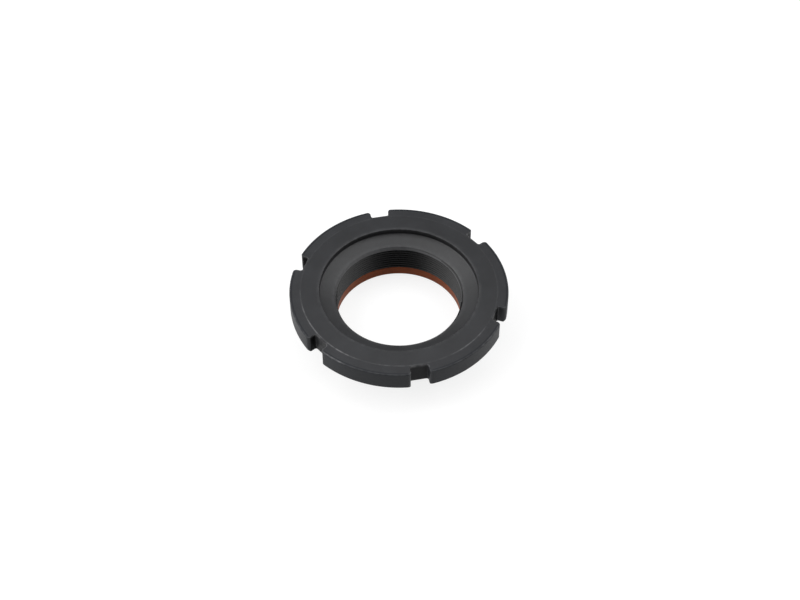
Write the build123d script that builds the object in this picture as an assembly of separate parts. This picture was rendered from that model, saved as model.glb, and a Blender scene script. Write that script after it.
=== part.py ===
from build123d import *
from math import radians, tan
import os

# Hub nut: a round flanged nut with spanner slots in its rim and a locking ring in its neck.
# It lies as it comes to rest, on the end of its neck, with the clamping face up.
# Z is the thread's axis, z = 0 is the plane that the neck stands on, and one slot faces -Y.
# All sizes are in millimetres and degrees.
# The nut is sized outwards from its thread, so each width below is measured across the radius.

# Thread, made as a plain bore at its smallest diameter
thread_diameter = 60.0
thread_pitch = 1.5
thread_length = 12.4
mouth_overrun = 0.4

# Recess in the clamping face, with a floor that slopes down to the thread
floor_width = 6.7
floor_slope = 17.5
recess_depth = 2.8
recess_corner_bevel = 0.6
recess_edge_break = 0.25

# Flange, with its flat clamping face and the shallow bevel round it
face_width = 8.8
rim_bevel_width = 5.1
rim_bevel_drop = 0.5
flange_thickness = 10.4
rim_upper_radius = 0.4
rim_lower_bevel = 1.0

# Spanner slots, milled straight through the rim
slot_count = 6
slot_width = 8.6
slot_depth = 4.4
slot_root_radius = 1.0
slot_mouth_radius = 1.6
first_slot_angle = -90.0

# Locking ring, with a bore that the spindle's thread bites into
ring_bite = 0.45
ring_width = 3.45
ring_height = 5.0
ring_lead_in = 0.4
ring_clearance = 0.05

# Neck that holds the ring, with its end rolled in over it as a lip
neck_wall = 1.95
neck_root_bevel = 0.8
lip_thickness = 1.2
lip_cover = 1.8
rolled_edge_radius = 1.6

# Radii that follow, from the bore outwards. An inner thread of this form is as deep as
# five eighths of the height of its full triangle.
thread_depth = 5 / 8 * thread_pitch * tan(radians(60)) / 2
bore_radius = thread_diameter / 2 - thread_depth
mouth_radius = thread_diameter / 2 + mouth_overrun
recess_radius = mouth_radius + floor_width
face_radius = recess_radius + face_width
flange_radius = face_radius + rim_bevel_width
ring_inner_radius = thread_diameter / 2 - ring_bite
ring_outer_radius = ring_inner_radius + ring_width
groove_radius = ring_outer_radius + ring_clearance
neck_radius = groove_radius + neck_wall
lip_radius = ring_outer_radius - lip_cover

# Heights that follow, from the rolled lip upwards
groove_top = lip_thickness + ring_height
thread_top = groove_top + thread_length
mouth_top = thread_top + mouth_radius - bore_radius
floor_top = mouth_top + floor_width * tan(radians(floor_slope))
face_height = floor_top + recess_depth
flange_underside = face_height - flange_thickness


def rounded(section, corner, radius):
    """Round the one corner of a section that lies at the given place."""
    return fillet(section.vertices().sort_by_distance(corner)[0], radius)


def bevelled(section, corner, length):
    """Cut off the one corner of a section that lies at the given place."""
    return chamfer(section.vertices().sort_by_distance(corner)[0], length)


def turned(section):
    """Turn a section, drawn as radius across and height up, about the Z axis."""
    return revolve(Plane.XZ * section, axis=Axis.Z)


def body_section():
    """Half of the nut's section, from the lip round the outside and back down the bore."""
    outline = Polyline(
        (lip_radius, 0),
        (neck_radius, 0),
        (neck_radius, flange_underside),
        (flange_radius, flange_underside),
        (flange_radius, face_height - rim_bevel_drop),
        (face_radius, face_height),
        (recess_radius + recess_edge_break, face_height),
        (recess_radius, face_height - recess_edge_break),
        (recess_radius, floor_top),
        (mouth_radius, mouth_top),
        (bore_radius, thread_top),
        (bore_radius, groove_top),
        (groove_radius, groove_top),
        (groove_radius, lip_thickness),
        (lip_radius, lip_thickness),
        close=True,
    )
    section = make_face(outline)
    section = rounded(section, (neck_radius, 0), rolled_edge_radius)
    section = bevelled(section, (neck_radius, flange_underside), neck_root_bevel)
    section = bevelled(section, (flange_radius, flange_underside), rim_lower_bevel)
    section = rounded(section, (flange_radius, face_height - rim_bevel_drop), rim_upper_radius)
    return bevelled(section, (recess_radius, floor_top), recess_corner_bevel)


def slotted_disc():
    """The flange seen from above: a disc with a round-cornered slot for each spanner hook."""
    slot = Rectangle(2 * slot_depth, slot_width)
    places = PolarLocations(flange_radius, slot_count, start_angle=first_slot_angle)
    disc = Rot(Z=first_slot_angle) * Circle(flange_radius) - [place * slot for place in places]
    disc = fillet(disc.vertices().group_by(SortBy.DISTANCE)[-1], slot_mouth_radius)
    return fillet(disc.vertices().group_by(SortBy.DISTANCE)[0], slot_root_radius)


def nut_body():
    """The steel nut: the turned form, with the slots milled through its flange."""
    return turned(body_section()) & extrude(slotted_disc(), amount=face_height)


def locking_ring():
    """The plain ring that the spindle's thread cuts into, held by the rolled lip."""
    outline = Polyline(
        (ring_inner_radius, lip_thickness),
        (ring_outer_radius, lip_thickness),
        (ring_outer_radius, groove_top),
        (ring_inner_radius + ring_lead_in, groove_top),
        (ring_inner_radius, groove_top - ring_lead_in),
        close=True,
    )
    return turned(make_face(outline))


parts = {"nut_body": nut_body(), "locking_ring": locking_ring()}

os.makedirs("parts", exist_ok=True)
for name, solid in parts.items():
    solid.label = name
    export_step(solid, f"parts/{name}.step")
    size = solid.bounding_box().size
    print(f"{name}: {solid.volume:.0f} mm3, {size.X:.1f} x {size.Y:.1f} x {size.Z:.1f} mm")
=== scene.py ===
from math import atan, atan2, cos, degrees, pi, radians, sin, sqrt, tan

import bmesh
import bpy
import numpy as np
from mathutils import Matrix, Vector
from mathutils.geometry import delaunay_2d_cdt


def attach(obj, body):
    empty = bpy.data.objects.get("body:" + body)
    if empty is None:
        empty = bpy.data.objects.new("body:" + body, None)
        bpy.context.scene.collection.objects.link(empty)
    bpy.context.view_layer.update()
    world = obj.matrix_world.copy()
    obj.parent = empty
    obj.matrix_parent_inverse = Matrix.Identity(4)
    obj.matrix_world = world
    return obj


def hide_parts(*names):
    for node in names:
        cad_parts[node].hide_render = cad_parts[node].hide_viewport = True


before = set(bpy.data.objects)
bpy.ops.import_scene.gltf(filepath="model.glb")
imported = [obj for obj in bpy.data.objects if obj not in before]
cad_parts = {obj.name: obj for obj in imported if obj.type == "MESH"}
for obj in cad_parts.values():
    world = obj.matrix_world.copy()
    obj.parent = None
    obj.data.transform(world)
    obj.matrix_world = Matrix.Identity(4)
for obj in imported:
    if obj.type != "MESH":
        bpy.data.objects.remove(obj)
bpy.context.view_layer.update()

# Sizes of the nut in millimetres and degrees, the same as in the part's source
THREAD_D, PITCH, THREAD_LENGTH, MOUTH_OVERRUN = 60.0, 1.5, 12.4, 0.4
FLOOR_WIDTH, FLOOR_SLOPE, RECESS_DEPTH, RECESS_CORNER = 6.7, 17.5, 2.8, 0.6
FACE_WIDTH, BEVEL_WIDTH, BEVEL_DROP, FLANGE_THICKNESS = 8.8, 5.1, 0.5, 10.4
RIM_UPPER, RIM_LOWER = 0.4, 1.0
SLOT_COUNT, SLOT_WIDTH, SLOT_DEPTH, SLOT_ROOT, SLOT_MOUTH = 6, 8.6, 4.4, 1.0, 1.6
FIRST_SLOT = -90
RING_BITE, RING_WIDTH, RING_HEIGHT, RING_LEAD_IN, RING_CLEARANCE = 0.45, 3.45, 5.0, 0.4, 0.05
NECK_WALL, NECK_ROOT, LIP_THICKNESS, LIP_COVER, ROLLED = 1.95, 0.8, 1.2, 1.8, 1.6

# Radii and heights that follow
R_MAJOR = THREAD_D / 2
R_BORE = R_MAJOR - 5 / 8 * PITCH * tan(radians(60)) / 2
R_MOUTH = R_MAJOR + MOUTH_OVERRUN
R_RECESS = R_MOUTH + FLOOR_WIDTH
R_FACE = R_RECESS + FACE_WIDTH
R_RIM = R_FACE + BEVEL_WIDTH
R_SLOT_ROOT = R_RIM - SLOT_DEPTH
R_RING_IN = R_MAJOR - RING_BITE
R_RING_OUT = R_RING_IN + RING_WIDTH
R_GROOVE = R_RING_OUT + RING_CLEARANCE
R_NECK = R_GROOVE + NECK_WALL
R_LIP = R_RING_OUT - LIP_COVER
Z_GROOVE = LIP_THICKNESS + RING_HEIGHT
Z_THREAD = Z_GROOVE + THREAD_LENGTH
Z_MOUTH = Z_THREAD + R_MOUTH - R_BORE
Z_FLOOR = Z_MOUTH + FLOOR_WIDTH * tan(radians(FLOOR_SLOPE))
Z_FACE = Z_FLOOR + RECESS_DEPTH
Z_UNDER = Z_FACE - FLANGE_THICKNESS

# The thread's own form: crest at the smallest radius, two flanks and a root
CREST = PITCH / 4
ROOT = PITCH / 8
FLANK = (PITCH - CREST - ROOT) / 2
# The thread's rows end this far below the mouth's upper edge, which is rounded
MOUTH_TOP = 0.25

# Roundings of the edges that were deburred
EDGE = 0.3
SMALL_EDGE = 0.18
RECESS_EDGE = 0.25
LIP_EDGE = 0.35

# Where the turned surfaces meet the slotted flange, above and below
R_JOIN_TOP = R_FACE - 0.9
R_JOIN_UNDER = R_SLOT_ROOT - 1.6

# How finely the meshes are cut: points of a circle, degrees of arc between two points, the
# millimetres between two rows, and the numbers of steps along the flange's outline
COLUMNS = 288
ARC_DEGREES = 10
NUT_STRETCH, RING_STRETCH = 1.5, 1.0
ROOT_STEPS, CORNER_STEPS, SIDE_STEPS, MOUTH_STEPS, TOOTH_STEPS = 4, 8, 4, 10, 40
WALL_ROWS = 10
# The rim's rounded upper edge, in degrees along it, and the loops further in, in millimetres
UPPER_ARC = (0, 8, 16, 25, 35, 45, 55, 65, 75, 84)
UPPER_INSETS = [RIM_UPPER * (1 - cos(radians(t))) for t in UPPER_ARC] + [0.5, 0.75, 1.0, 1.25]
# Circles that are cut into the flat parts of the flange, above and below
UPPER_RADII = [R_FACE + d for d in (-0.4, -0.1, 0.12, 0.45, 1.4, 2.7)]
UNDER_RADII = [R_FACE + d for d in (0.4, 1.9)]
# The least distance of their points from the outline
POINT_GAP = 0.25
# Points that are closer than this, in metres, are welded, and edges stay hard above this angle
WELD = 2e-6
SHARP_DEGREES = 32

# How bright the edges were rubbed, from 0 to 1
CORNER_WEAR = 0.08
SLOT_EDGE_WEAR = 0.35
RIM_EDGE_WEAR = 0.12
FACE_EDGE_WEAR = 0.05
MOUTH_WEAR = 0.05
# How wide the rubbed lines are, which also carry painted highlights: on either side of the face's
# edge, and from inset to inset on the rim's, in millimetres
FACE_LINE = 0.2
RIM_LINE = (0.03, 0.6)
# Painted highlights on these lines and on one slot's root: direction and half width in degrees,
# and brightness
FACE_PAINTED_HIGHLIGHTS = ((-161, 20, 0.38), (-136, 9, 0.45), (-100, 14, 0.14), (-57, 11, 0.26))
RIM_PAINTED_HIGHLIGHTS = ((-138, 7, 0.5), (-50, 12, 0.2))
ROOT_PAINTED_HIGHLIGHT = ((-150, 6, 0.16),)
# The slot whose root is darkened as painted shade, by its direction in degrees
PAINTED_SHADE_ROOT = -30

# Looks of the blackened steel, one for each zone of the nut's surface
STEEL = {
    "turned": dict(colour=(0.0180, 0.0187, 0.0210), roughness=0.38),
    # the milled slot roots, darkened as painted shade of the slot
    "slot_root": dict(colour=(0.0085, 0.0089, 0.0103), roughness=0.50, shine=0.12, milled=True),
    # the thread's flanks, darkened nearly to black as painted shade inside the bore
    "thread": dict(colour=(0.0014, 0.0014, 0.0016), roughness=0.30, shine=0.33, relief=0.3),
    "recess": dict(colour=(0.0236, 0.0239, 0.0256), roughness=0.46, shine=0.46, relief=0.4),
    "rim": dict(colour=(0.0134, 0.0147, 0.0180), roughness=0.48, shine=0.21),
    # the thread's crests, darkened less than its flanks, as painted shade inside the bore
    "crest": dict(colour=(0.0078, 0.0078, 0.0086), roughness=0.45, shine=0.13, relief=0.5),
    "bevel": dict(colour=(0.0250, 0.0258, 0.0285), roughness=0.60, shine=0.27),
    # the slots' left walls and one root, nearly black as painted shade
    "slot_side_painted_shade": dict(colour=(0.0040, 0.0042, 0.0048), roughness=0.50, shine=0.04, milled=True),
    "mouth": dict(colour=(0.0330, 0.0332, 0.0350), roughness=0.50, shine=0.42, relief=0.4),
    # the recess's upright wall, darkened as painted shade
    "recess_wall_painted_shade": dict(colour=(0.0105, 0.0108, 0.0118), roughness=0.42, shine=0.25),
}
ZONE = {name: number for number, name in enumerate(STEEL)}
BARE_AND_HIGHLIGHT_STEEL = (0.25, 0.25, 0.255, 1)
FIBRE = (0.27, 0.070, 0.024)
# Height of the fine marks in the steel and of the grain in the fibre, in metres
STEEL_RELIEF, FIBRE_RELIEF = 0.00004, 0.00005


def placed(name, data):
    """Make an object of the given data and link it into the scene."""
    obj = bpy.data.objects.new(name, data)
    bpy.context.scene.collection.objects.link(obj)
    return obj


class Shell:
    """One closed mesh in millimetres, with a lightening for each vertex, for worn edges and
    painted highlights, and a zone for each face.
    """

    def __init__(self):
        self.points, self.faces, self.wear, self.zones = [], [], [], []

    def add(self, points, wear=0.0):
        """Append points and return the numbers of the new vertices."""
        first = len(self.points)
        self.points.extend(tuple(p) for p in points)
        self.wear.extend(np.broadcast_to(wear, len(points)).tolist())
        return np.arange(first, first + len(points))

    def strip(self, upper, lower, zone=0):
        """Join two rows of equal length with quads that face outwards when upper is above."""
        count = len(upper) - 1
        self.faces.extend(zip(upper[:-1], lower[:-1], lower[1:], upper[1:]))
        self.zones.extend(np.broadcast_to(zone, count).tolist())

    def band(self, upper, lower, zone=0):
        """Join two closed loops, as strip does."""
        self.strip(np.append(upper, upper[0]), np.append(lower, lower[0]), zone)

    def helix(self, rows, zones, shift):
        """Join rows that climb by one turn as they go round, from the top row down. The end of a
        row meets the start of the row that lies shift rows above it."""
        for k in range(1, len(rows)):
            upper = np.append(rows[k - 1], rows[max(k - 1 - shift, 0)][0])
            lower = np.append(rows[k], rows[max(k - shift, 0)][0])
            self.strip(upper, lower, zones[k])

    def build(self, name, materials):
        """Make the mesh's object, with doubled points welded, no empty faces and smooth shading
        between the hard edges."""
        data = bpy.data.meshes.new(name)
        points = [(x / 1000, y / 1000, z / 1000) for x, y, z in self.points]
        data.from_pydata(points, [], self.faces)
        for material in materials:
            data.materials.append(material)
        data.polygons.foreach_set("material_index", self.zones)
        wear = data.attributes.new("wear", "FLOAT", "POINT")
        wear.data.foreach_set("value", self.wear)

        bm = bmesh.new()
        bm.from_mesh(data)
        bmesh.ops.remove_doubles(bm, verts=bm.verts, dist=WELD)
        bmesh.ops.dissolve_degenerate(bm, edges=bm.edges, dist=WELD / 2)
        bmesh.ops.recalc_face_normals(bm, faces=bm.faces)
        bm.to_mesh(data)
        bm.free()
        data.polygons.foreach_set("use_smooth", [True] * len(data.polygons))
        data.set_sharp_from_angle(angle=radians(SHARP_DEGREES))
        return placed(name, data)


# Turned surfaces


def rounded_profile(corners):
    """A line through (r, z, radius) corners, with each corner replaced by an arc of its radius.
    Returns rows of (r, z, wear), in which only small outer corners are worn."""
    rows = []
    for i, (r, z, radius) in enumerate(corners):
        if not radius or i in (0, len(corners) - 1):
            rows.append((r, z, 0.0))
            continue
        corner = np.array((r, z))
        back = np.array(corners[i - 1][:2]) - corner
        ahead = np.array(corners[i + 1][:2]) - corner
        back /= np.linalg.norm(back)
        ahead /= np.linalg.norm(ahead)
        half = np.arccos(np.clip(back @ ahead, -1, 1)) / 2
        reach = radius / tan(half)
        middle = corner + (back + ahead) / np.linalg.norm(back + ahead) * radius / sin(half)
        start, end = corner + back * reach - middle, corner + ahead * reach - middle
        first = atan2(start[1], start[0])
        turn = (atan2(end[1], end[0]) - first + pi) % (2 * pi) - pi
        is_outer = back[0] * ahead[1] - back[1] * ahead[0] < 0
        wear = CORNER_WEAR if is_outer and radius < 1 else 0.0
        steps = max(3, int(round(abs(degrees(turn)) / ARC_DEGREES)))
        for s in range(steps + 1):
            t = first + turn * s / steps
            rows.append((middle[0] + radius * cos(t), middle[1] + radius * sin(t), wear))
    return rows


def divided(rows, stretch):
    """The rows of a profile with more rows between them, less than two stretches apart. The last
    row is left out."""
    steps = []
    for (r0, z0, w0), (r1, z1, _) in zip(rows, rows[1:]):
        cuts = max(1, int(np.hypot(r1 - r0, z1 - z0) / stretch))
        for s in range(cuts):
            f = s / cuts
            steps.append((r0 + (r1 - r0) * f, z0 + (z1 - z0) * f, w0 if s == 0 else 0.0))
    return steps


def circle(r, z):
    """Points round the axis. r and z may each be one value or one for each point."""
    t = np.arange(COLUMNS) * 2 * pi / COLUMNS
    r = np.broadcast_to(r, COLUMNS)
    z = np.broadcast_to(z, COLUMNS)
    return np.column_stack((r * np.cos(t), r * np.sin(t), z))


# The slotted flange


def outline(inset, slot_share):
    """Plan of the slotted rim, moved inwards by inset at the rim and by inset * slot_share in the
    slots. Returns the points, and how far each lies into a slot: 1 in the slot, 0 on the rim."""
    sector = 2 * pi / SLOT_COUNT
    slot_inset = inset * slot_share
    half = SLOT_WIDTH / 2
    corner_u = R_SLOT_ROOT + SLOT_ROOT
    mouth_v = half + SLOT_MOUTH
    mouth_u = sqrt((R_RIM - SLOT_MOUTH) ** 2 - mouth_v**2)
    mouth_end = atan2(mouth_v, mouth_u)
    # half a slot and half a tooth, with u along the slot's middle and v across it
    uv, share = [], []
    for s in range(ROOT_STEPS):
        uv.append((R_SLOT_ROOT - slot_inset, (half - SLOT_ROOT) * s / ROOT_STEPS))
        share.append(1.0)
    for s in range(CORNER_STEPS + 1):
        t = pi - pi / 2 * s / CORNER_STEPS
        radius = SLOT_ROOT + slot_inset
        uv.append((corner_u + radius * cos(t), half - SLOT_ROOT + radius * sin(t)))
        share.append(1.0)
    for s in range(1, SIDE_STEPS):
        uv.append((corner_u + (mouth_u - corner_u) * s / SIDE_STEPS, half + slot_inset))
        share.append(1.0)
    for s in range(MOUTH_STEPS + 1):
        f = s / MOUTH_STEPS
        t = -pi / 2 + (mouth_end + pi / 2) * f
        blend = 1 - f * f * (3 - 2 * f)
        radius = SLOT_MOUTH - inset * (slot_share * blend + 1 - blend)
        uv.append((mouth_u + radius * cos(t), mouth_v + radius * sin(t)))
        share.append(blend)
    for s in range(1, TOOTH_STEPS // 2 + 1):
        t = mouth_end + (sector - 2 * mouth_end) * s / TOOTH_STEPS
        uv.append(((R_RIM - inset) * cos(t), (R_RIM - inset) * sin(t)))
        share.append(0.0)
    # the other half of the tooth and of the next slot is a mirror image
    uv, share = np.array(uv), np.array(share)
    angle = np.arctan2(uv[:, 1], uv[:, 0])
    radius = np.hypot(uv[:, 0], uv[:, 1])
    inner = slice(1, -1)
    angle = np.concatenate((angle, (sector - angle[inner])[::-1]))
    radius = np.concatenate((radius, radius[inner][::-1]))
    share = np.concatenate((share, share[inner][::-1]))
    points = []
    for k in range(SLOT_COUNT):
        a = angle + radians(FIRST_SLOT) + k * sector
        points.append(np.column_stack((radius * np.cos(a), radius * np.sin(a))))
    return np.vstack(points), np.tile(share, SLOT_COUNT)


def upper_height(r):
    """Height of the flange's upper surface at radius r."""
    slope = atan(BEVEL_DROP / BEVEL_WIDTH)
    centre_r = R_RIM - RIM_UPPER
    centre_z = Z_FACE - (centre_r - R_FACE) * tan(slope) - RIM_UPPER / cos(slope)
    bevel = Z_FACE - np.maximum(r - R_FACE, 0) * tan(slope)
    arc = centre_z + np.sqrt(np.maximum(RIM_UPPER**2 - (r - centre_r) ** 2, 0))
    return np.where(r > centre_r + RIM_UPPER * sin(slope), arc, bevel)


# Section of the flange's lower edge, from inside the bevel to a little above it on the rim
LOWER_EDGE = rounded_profile([
    (R_RIM - 1.5, Z_UNDER, 0),
    (R_RIM - RIM_LOWER, Z_UNDER, EDGE),
    (R_RIM, Z_UNDER + RIM_LOWER, EDGE),
    (R_RIM, Z_UNDER + RIM_LOWER + 0.4, 0),
])[:-1]


def under_height(r):
    """Height of the flange's underside at radius r."""
    return np.interp(r, [row[0] for row in LOWER_EDGE], [row[1] for row in LOWER_EDGE])


def edge_drop(d):
    """How far a rounded edge lies below its face, at distance d from the wall."""
    d = np.minimum(d, EDGE)
    return EDGE - np.sqrt(np.maximum(EDGE**2 - (EDGE - d) ** 2, 0))


def rubbed_and_highlighted(xy, places, least):
    """Lightening at points in plan: the least value everywhere for worn edges, and painted
    highlights strongest in the given places, fading out from 0.6 to 1.6 times their half width."""
    direction = np.arctan2(xy[..., 1], xy[..., 0])
    wear = np.full(direction.shape, float(least))
    for at, half, strength in places:
        away = np.degrees(np.arccos(np.clip(np.cos(direction - radians(at)), -1, 1)))
        wear = np.maximum(wear, strength * np.clip(1.6 - away / half, 0, 1))
    return wear


def upper_wear(xy):
    """Lightening of the flange's upper surface at a point: the line where the face meets its
    bevel, worn all round and with painted highlights in some directions.
    """
    is_line = abs(np.hypot(*xy) - R_FACE) <= FACE_LINE
    return rubbed_and_highlighted(xy, FACE_PAINTED_HIGHLIGHTS, FACE_EDGE_WEAR) if is_line else 0.0


def under_wear(xy):
    """Wear of the flange's underside, which has none between its edges."""
    return 0.0


def is_inside(p, start, end):
    """Whether a point lies inside the closed line whose sides run from start to end."""
    run, rise = (end - start).T
    crossed = ((start[:, 1] > p[1]) != (end[:, 1] > p[1])) & (
        p[0] < run * (p[1] - start[:, 1]) / (rise + 1e-12) + start[:, 0])
    return crossed.sum() % 2 == 1


def gap_to(p, start, end):
    """Distance from a point to the nearest of the sides that run from start to end."""
    side = end - start
    t = np.clip(((p - start) * side).sum(1) / (side * side).sum(1), 0, 1)
    return np.linalg.norm(start + side * t[:, None] - p, axis=1).min()


def fill_plan(shell, outer, r_inner, inner, radii, height, wear, outer_zone, is_top):
    """Fill the plan between an outline and a circle of radius r_inner with triangles, with points
    at the given radii between them. outer and inner are the numbers of the vertices that are
    there already. Triangles outside the face's flat ring are in outer_zone."""
    outer_xy = np.array([shell.points[i][:2] for i in outer])
    coords = [Vector(p) for p in np.vstack((outer_xy, circle(r_inner, 0)[:, :2]))]
    n, m = len(outer), len(inner)
    edges = [(i, (i + 1) % n) for i in range(n)] + [(n + i, n + (i + 1) % m) for i in range(m)]
    start, end = outer_xy, np.roll(outer_xy, -1, axis=0)
    for r in radii:
        number = {}
        for i, p in enumerate(circle(r, 0)[:, :2]):
            if gap_to(p, start, end) > POINT_GAP and is_inside(p, start, end):
                number[i] = len(coords)
                coords.append(Vector(p))
        for i in number:
            j = (i + 1) % COLUMNS
            if j in number:
                edges.append((number[i], number[j]))
    made = delaunay_2d_cdt(coords, edges, [], 0, 1e-7)
    xy = np.array([tuple(v) for v in made[0]])
    known = np.append(outer, inner)
    number = []
    for p, sources in zip(xy, made[3]):
        source = min(sources, default=n + m)
        if source < n + m:
            number.append(int(known[source]))
        else:
            z = float(height(np.hypot(p[0], p[1])))
            number.append(int(shell.add([(p[0], p[1], z)], wear(p))[0]))
    hole = r_inner * cos(pi / m) - 0.001
    for triangle in made[2]:
        middle = xy[list(triangle)].mean(axis=0)
        if np.hypot(*middle) < hole or not is_inside(middle, start, end):
            continue
        ids = [number[i] for i in triangle]
        shell.faces.append(tuple(ids if is_top else ids[::-1]))
        shell.zones.append(outer_zone if np.hypot(*middle) > R_FACE else ZONE["turned"])


def flange_zones(plan, in_slot):
    """Zones of the flange's upright walls, one for each side of its plan. Seen from outside, the
    wall on the right of a slot has the rim's lighter look and the one on its left is nearly black,
    painted light and shade as if lit from the left, and one root is darkened as painted shade."""
    middle = (plan + np.roll(plan, -1, axis=0)) / 2
    facing = np.degrees(np.arctan2(middle[:, 1], middle[:, 0]))
    is_milled = np.minimum(in_slot, np.roll(in_slot, -1)) > 0.8
    is_root = np.hypot(*middle.T) < R_SLOT_ROOT + SLOT_ROOT / 2
    sector = 360 / SLOT_COUNT
    is_right = (facing - FIRST_SLOT + sector / 2) % sector > sector / 2
    side = np.where(is_right, ZONE["rim"], ZONE["slot_side_painted_shade"])
    is_painted_shade_root = np.abs(facing - PAINTED_SHADE_ROOT) < 8
    root = np.where(is_painted_shade_root, ZONE["slot_side_painted_shade"], ZONE["slot_root"])
    return np.where(is_milled, np.where(is_root, root, side), ZONE["rim"])


def edge_loop(inset, deepest, height, drop):
    """Points and wear of a loop near the flange's upper or under edge, at an inset of which the
    deepest one lies just inside the rounded edges of the slots. drop is 1 where these edges fall
    off downwards and -1 where they rise."""
    share = EDGE / deepest * 1.15
    xy, in_slot = outline(inset, share)
    r = np.minimum(np.hypot(xy[:, 0], xy[:, 1]), R_RIM)
    z = height(r) - drop * edge_drop(inset * share) * in_slot
    wear = SLOT_EDGE_WEAR if inset * share < EDGE else 0.0
    return np.column_stack((xy, z)), wear * in_slot


def add_flange_walls(shell):
    """The rim and the slots, from the upper face round to the underside. Returns the numbers of
    the vertices of the topmost and of the lowest loop."""
    loops, wears = [], []
    for inset in UPPER_INSETS[::-1]:
        points, wear = edge_loop(inset, UPPER_INSETS[-1], upper_height, 1)
        # the rim's edge line: worn all round, with painted highlights in some directions
        if RIM_LINE[0] < inset < RIM_LINE[1]:
            wear = np.maximum(wear, rubbed_and_highlighted(points[:, :2], RIM_PAINTED_HIGHLIGHTS, RIM_EDGE_WEAR))
        loops.append(points)
        wears.append(wear)

    plan, in_slot = outline(0.0, 1.0)
    r = np.hypot(plan[:, 0], plan[:, 1])
    z_high = loops[-1][:, 2]
    z_low = under_height(np.minimum(r, R_RIM)) + EDGE * in_slot
    # a painted highlight on one slot's root
    root_wear = rubbed_and_highlighted(plan, ROOT_PAINTED_HIGHLIGHT, 0.0) * (r < R_SLOT_ROOT + SLOT_ROOT / 2)
    zones = flange_zones(plan, in_slot)
    for s in range(1, WALL_ROWS):
        loops.append(np.column_stack((plan, z_high + (z_low - z_high) * s / WALL_ROWS)))
        wears.append(root_wear)

    insets = [R_RIM - row[0] for row in LOWER_EDGE[::-1]]
    for inset in insets:
        points, wear = edge_loop(inset, insets[-1], under_height, -1)
        loops.append(points)
        wears.append(wear)

    ids = [shell.add(points, wear) for points, wear in zip(loops, wears)]
    for upper, lower in zip(ids, ids[1:]):
        shell.band(upper, lower, zones)
    return ids[0], ids[-1]


# The nut's bore and underside


def add_recess(shell):
    """The flat face, the recess and its floor, down to the rounded edge of the thread's mouth.
    Returns the numbers of the vertices of the outermost and of the lowest circle."""
    profile = rounded_profile([
        (R_JOIN_TOP, Z_FACE, 0),
        (R_RECESS, Z_FACE, RECESS_EDGE),
        (R_RECESS, Z_FLOOR, RECESS_CORNER),
        (R_MOUTH, Z_MOUTH, SMALL_EDGE),
        (R_MOUTH - MOUTH_TOP, Z_MOUTH - MOUTH_TOP, 0),
    ])
    steps = divided(profile, NUT_STRETCH)
    rows = [shell.add(circle(r, z), wear) for r, z, wear in steps]
    wall_foot, wall_top = Z_FLOOR + 0.3, Z_FACE - 0.1
    for upper, lower, (_, z, _) in zip(rows, rows[1:], steps):
        zone = "recess" if z < wall_foot else "recess_wall_painted_shade" if z < wall_top else "turned"
        shell.band(upper, lower, ZONE[zone])
    return rows[0], rows[-1]


def add_thread(shell, above):
    """The thread below the circle with the given numbers, in rows that follow the helix and are
    cut off level at both ends. Returns the numbers of the lowest row's vertices."""
    marks = [0, CREST / 2, CREST, CREST + FLANK * 0.5, CREST + FLANK, CREST + FLANK + ROOT / 2,
             CREST + FLANK + ROOT, PITCH - FLANK * 0.5]
    fractions = [round(mark / PITCH, 6) for mark in marks]
    top = Z_MOUTH - MOUTH_TOP
    turns = int(np.ceil((top - Z_GROOVE) / PITCH)) + 1
    round_axis = np.arange(COLUMNS) / COLUMNS
    rows, zones = [], []
    for height in sorted((turn + f for turn in range(-1, turns + 1) for f in fractions),
                         reverse=True):
        z = np.clip(Z_GROOVE + PITCH * (height + round_axis), Z_GROOVE, top)
        x = np.mod((z - Z_GROOVE) / PITCH - round_axis, 1.0) * PITCH
        outwards = np.clip((x - CREST) / FLANK, 0, 1)
        inwards = np.clip((x - CREST - FLANK - ROOT) / FLANK, 0, 1)
        mouth = R_BORE + np.maximum(z - Z_THREAD, 0)
        r = np.maximum(R_BORE + (R_MAJOR - R_BORE) * (outwards - inwards), mouth)
        # the mouth's cone, with a little of the crest next to it
        is_mouth = (z > Z_THREAD - 0.1) & (r < mouth + 0.05)
        form = "crest" if height % 1 < CREST / PITCH - 0.001 else "thread"
        rows.append(shell.add(circle(r, z), np.where(is_mouth, MOUTH_WEAR, 0.0)))
        zones.append(np.where(is_mouth, ZONE["mouth"], ZONE[form]))
    shell.band(above, rows[0], ZONE["mouth"])
    shell.helix(rows, zones, len(fractions))
    return rows[-1]


def add_neck(shell, above):
    """The groove, the rolled lip, the neck and the underside, as far as the slots. Returns the
    numbers of the outermost circle's vertices."""
    profile = rounded_profile([
        (R_GROOVE, Z_GROOVE, 0),
        (R_GROOVE, LIP_THICKNESS, 0),
        (R_LIP, LIP_THICKNESS, SMALL_EDGE),
        (R_LIP, 0, LIP_EDGE),
        (R_NECK, 0, ROLLED),
        (R_NECK, Z_UNDER - NECK_ROOT, EDGE),
        (R_NECK + NECK_ROOT, Z_UNDER, EDGE),
        (R_JOIN_UNDER, Z_UNDER, 0),
    ])
    for r, z, wear in divided(profile, NUT_STRETCH) + profile[-1:]:
        row = shell.add(circle(r, z), wear)
        shell.band(above, row, ZONE["turned"])
        above = row
    return above


def build_nut(materials):
    shell = Shell()
    rim_top, rim_under = add_flange_walls(shell)
    face_edge, mouth_edge = add_recess(shell)
    under_edge = add_neck(shell, add_thread(shell, mouth_edge))
    fill_plan(shell, rim_top, R_JOIN_TOP, face_edge, UPPER_RADII, upper_height, upper_wear,
              ZONE["bevel"], True)
    fill_plan(shell, rim_under, R_JOIN_UNDER, under_edge, UNDER_RADII, under_height, under_wear,
              ZONE["turned"], False)
    return shell.build("nut_steel", materials)


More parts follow.
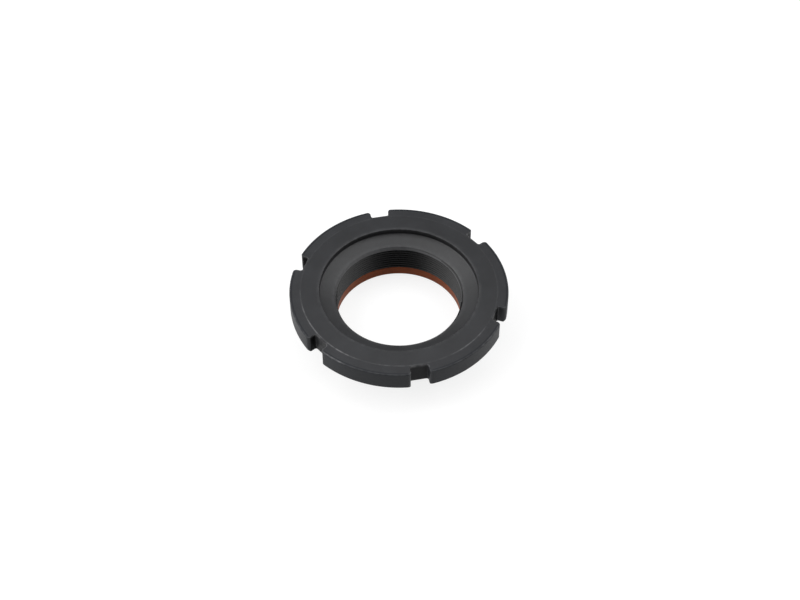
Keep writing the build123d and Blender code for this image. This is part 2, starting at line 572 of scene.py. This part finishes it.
def build_ring(material):
    shell = Shell()
    profile = rounded_profile([
        (R_RING_OUT, Z_GROOVE, 0),
        (R_RING_IN + RING_LEAD_IN, Z_GROOVE, SMALL_EDGE / 2),
        (R_RING_IN, Z_GROOVE - RING_LEAD_IN, SMALL_EDGE),
        (R_RING_IN, LIP_THICKNESS, SMALL_EDGE),
        (R_RING_OUT, LIP_THICKNESS, 0),
        (R_RING_OUT, Z_GROOVE, 0),
    ])
    rows = [shell.add(circle(r, z), wear) for r, z, wear in divided(profile, RING_STRETCH)]
    for upper, lower in zip(rows, rows[1:] + rows[:1]):
        shell.band(upper, lower)
    return shell.build("fibre_ring", [material])


# Materials


def new_material(name):
    """Make a material with an output and a shader, and return it with the shader."""
    material = bpy.data.materials.new(name)
    material.use_nodes = True
    tree = material.node_tree
    tree.nodes.clear()
    out = tree.nodes.new("ShaderNodeOutputMaterial")
    shader = tree.nodes.new("ShaderNodeBsdfPrincipled")
    tree.links.new(shader.outputs["BSDF"], out.inputs["Surface"])
    return material, shader


def feed(tree, node, inputs):
    """Set the inputs of a node, each to a value or to the output of another node."""
    for key, value in inputs.items():
        if isinstance(value, bpy.types.NodeSocket):
            tree.links.new(value, node.inputs[key])
        else:
            node.inputs[key].default_value = value


def make(tree, kind, output, inputs, **properties):
    """Add a node with the given properties and inputs, and return one of its outputs."""
    node = tree.nodes.new(kind)
    for key, value in properties.items():
        setattr(node, key, value)
    feed(tree, node, inputs)
    return node.outputs[output]


def noise(tree, vector, scale, detail, roughness):
    """Noise between 0 and 1. scale is in cells per metre."""
    return make(tree, "ShaderNodeTexNoise", "Fac",
                {"Vector": vector, "Scale": scale, "Detail": detail, "Roughness": roughness})


def combined(tree, **axes):
    """A vector of the given axes, and 0 for the others."""
    return make(tree, "ShaderNodeCombineXYZ", 0, axes)


def spread(tree, value, least, most, low, high):
    """Map a value between least and most to one between low and high."""
    limits = {"From Min": least, "From Max": most, "To Min": low, "To Max": high}
    return make(tree, "ShaderNodeMapRange", "Result", {"Value": value, **limits})


def shades(tree, factor, colour, dark, light):
    """Vary a colour between two multiples of itself."""
    ramp = tree.nodes.new("ShaderNodeValToRGB")
    for element, position, scale in zip(ramp.color_ramp.elements, (0.3, 0.7), (dark, light)):
        element.position = position
        element.color = [c * scale for c in colour] + [1]
    feed(tree, ramp, {"Fac": factor})
    return ramp.outputs["Color"]


def bump(tree, height, strength, distance, **normal):
    """A normal that follows the height, on top of another normal if there is one."""
    inputs = {"Strength": strength, "Distance": distance, "Height": height, **normal}
    return make(tree, "ShaderNodeBump", "Normal", inputs)


def steel(name, colour, roughness, shine=0.35, relief=1.0, milled=False):
    """Blackened steel, with fine marks that run round the axis, or upright where it was milled."""
    material, shader = new_material(name)
    tree = material.node_tree
    place = make(tree, "ShaderNodeTexCoord", "Object", {})
    split = tree.nodes.new("ShaderNodeSeparateXYZ")
    feed(tree, split, {0: place})
    x, y, z = split.outputs
    if milled:
        across = combined(tree, X=x, Y=y)
    else:
        flat = combined(tree, X=x, Y=y)
        radius = make(tree, "ShaderNodeVectorMath", "Value", {0: flat}, operation="LENGTH")
        across = combined(tree, X=radius, Z=z)
    marks = noise(tree, across, 4200.0, 3.0, 0.6)
    specks = noise(tree, place, 1500.0, 6.0, 0.7)
    clouds = noise(tree, place, 60.0, 4.0, 0.55)
    patches = noise(tree, place, 420.0, 3.0, 0.5)

    # the per-vertex lightening mixes in a light steel colour, for worn edges and for painted
    # highlights
    wear = make(tree, "ShaderNodeAttribute", "Fac", {}, attribute_name="wear")
    chipped = spread(tree, patches, 0.38, 0.62, 0.3, 1.0)
    bare_and_highlight = make(tree, "ShaderNodeMath", 0, {0: wear, 1: chipped}, operation="MULTIPLY")
    mix = tree.nodes.new("ShaderNodeMix")
    mix.data_type = "RGBA"
    feed(tree, mix, {"Factor": bare_and_highlight, "A": shades(tree, clouds, colour, 0.8, 1.25),
                     "B": BARE_AND_HIGHLIGHT_STEEL})
    lined = bump(tree, marks, 0.3 * relief, STEEL_RELIEF)
    feed(tree, shader, {
        "Base Color": mix.outputs["Result"],
        "Roughness": spread(tree, specks, 0.3, 0.7, roughness - 0.06, roughness + 0.08),
        "Normal": bump(tree, specks, 0.2 * relief, STEEL_RELIEF, Normal=lined),
        "Metallic": 0.0,
        "Specular IOR Level": shine,
    })
    return material


def fibre(name, colour):
    """Red-brown vulcanised fibre, with fine layers round the axis."""
    material, shader = new_material(name)
    tree = material.node_tree
    place = make(tree, "ShaderNodeTexCoord", "Object", {})
    flattened = make(tree, "ShaderNodeMapping", 0, {"Vector": place, "Scale": (1.0, 1.0, 6.0)})
    layers = noise(tree, flattened, 260.0, 5.0, 0.6)
    grain = noise(tree, place, 2500.0, 4.0, 0.6)
    feed(tree, shader, {
        "Base Color": shades(tree, layers, colour, 0.75, 1.25),
        "Roughness": 0.5,
        "Specular IOR Level": 0.12,
        "Normal": bump(tree, grain, 0.25, FIBRE_RELIEF),
    })
    return material


nut = build_nut([steel(f"{name}_steel", **look) for name, look in STEEL.items()])
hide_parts("nut_body")
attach(nut, "root")

ring = build_ring(fibre("red_brown_fibre", FIBRE))
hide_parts("locking_ring")
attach(ring, "root")

# Floor, light and camera, in metres and watts


def floor_material(grey, lift):
    """Grey to the light that falls on it, and lifted to white where it is seen or mirrored."""
    material, shader = new_material("pale_floor")
    tree = material.node_tree
    rays = tree.nodes.new("ShaderNodeLightPath")
    seen = rays.outputs["Is Camera Ray"]
    for kind in ("Is Glossy Ray", "Is Transmission Ray"):
        seen = make(tree, "ShaderNodeMath", 0, {0: seen, 1: rays.outputs[kind]},
                    operation="MAXIMUM")
    feed(tree, shader, {
        "Base Color": (grey, grey, grey, 1),
        "Roughness": 0.9,
        "Emission Color": (1, 1, 1, 1),
        "Emission Strength": make(tree, "ShaderNodeMath", 0, {0: seen, 1: lift},
                                  operation="MULTIPLY"),
    })
    return material


def add_floor():
    mesh = bpy.data.meshes.new("floor")
    half = 6.0
    corners = [(-half, -half, 0), (half, -half, 0), (half, half, 0), (-half, half, 0)]
    mesh.from_pydata(corners, [], [(0, 1, 2, 3)])
    mesh.materials.append(floor_material(grey=0.24, lift=0.81))
    floor = placed("floor", mesh)


def add_world():
    world = bpy.data.worlds.new("studio")
    bpy.context.scene.world = world
    world.use_nodes = True
    tree = world.node_tree
    tree.nodes.clear()
    out = tree.nodes.new("ShaderNodeOutputWorld")
    light = make(tree, "ShaderNodeBackground", 0, {"Color": (0.96, 0.98, 1, 1), "Strength": 0.09})
    feed(tree, out, {"Surface": light})


def add_lamp(name, place, size, watts):
    """A rectangular lamp that points at the origin."""
    data = bpy.data.lights.new(name, "AREA")
    data.shape = "RECTANGLE"
    data.size, data.size_y = size
    data.energy = watts
    lamp = placed(name, data)
    lamp.location = place
    lamp.rotation_euler = (-Vector(place)).to_track_quat("-Z", "Y").to_euler()


def add_camera():
    """The photograph's viewpoint. Lengths in pixels are those of a picture 800 pixels wide."""
    azimuth, elevation, distance = radians(-11.2), radians(49.757), 0.7538
    focal_px, width_px = 1606.6, 800.0
    right_px, up_px = 1.03, 0.19
    back = Vector((sin(azimuth) * cos(elevation), -cos(azimuth) * cos(elevation), sin(elevation)))
    right = Vector((cos(azimuth), sin(azimuth), 0))
    up = back.cross(right)
    px = distance / focal_px
    aim = Vector((0, 0, 0.01598)) + (right * right_px * px + up * up_px * px)
    data = bpy.data.cameras.new("camera")
    data.sensor_width = 36.0
    data.lens = focal_px / width_px * data.sensor_width
    data.clip_start, data.clip_end = 0.01, 20.0
    camera = placed("camera", data)
    camera.location = aim + back * distance
    camera.rotation_euler = (aim - camera.location).to_track_quat("-Z", "Y").to_euler()
    bpy.context.scene.camera = camera


add_floor()
add_world()
add_lamp("top_light", (0.1, 0.6, 1.65), (1.8, 1.15), 12.5)
add_lamp("left_light", (-1.3, 0.25, 0.95), (2.2, 1.9), 35)
add_lamp("right_light", (1.3, -0.15, 0.95), (2.0, 1.8), 21)
add_camera()
bpy.context.scene.view_settings.view_transform = "Standard"
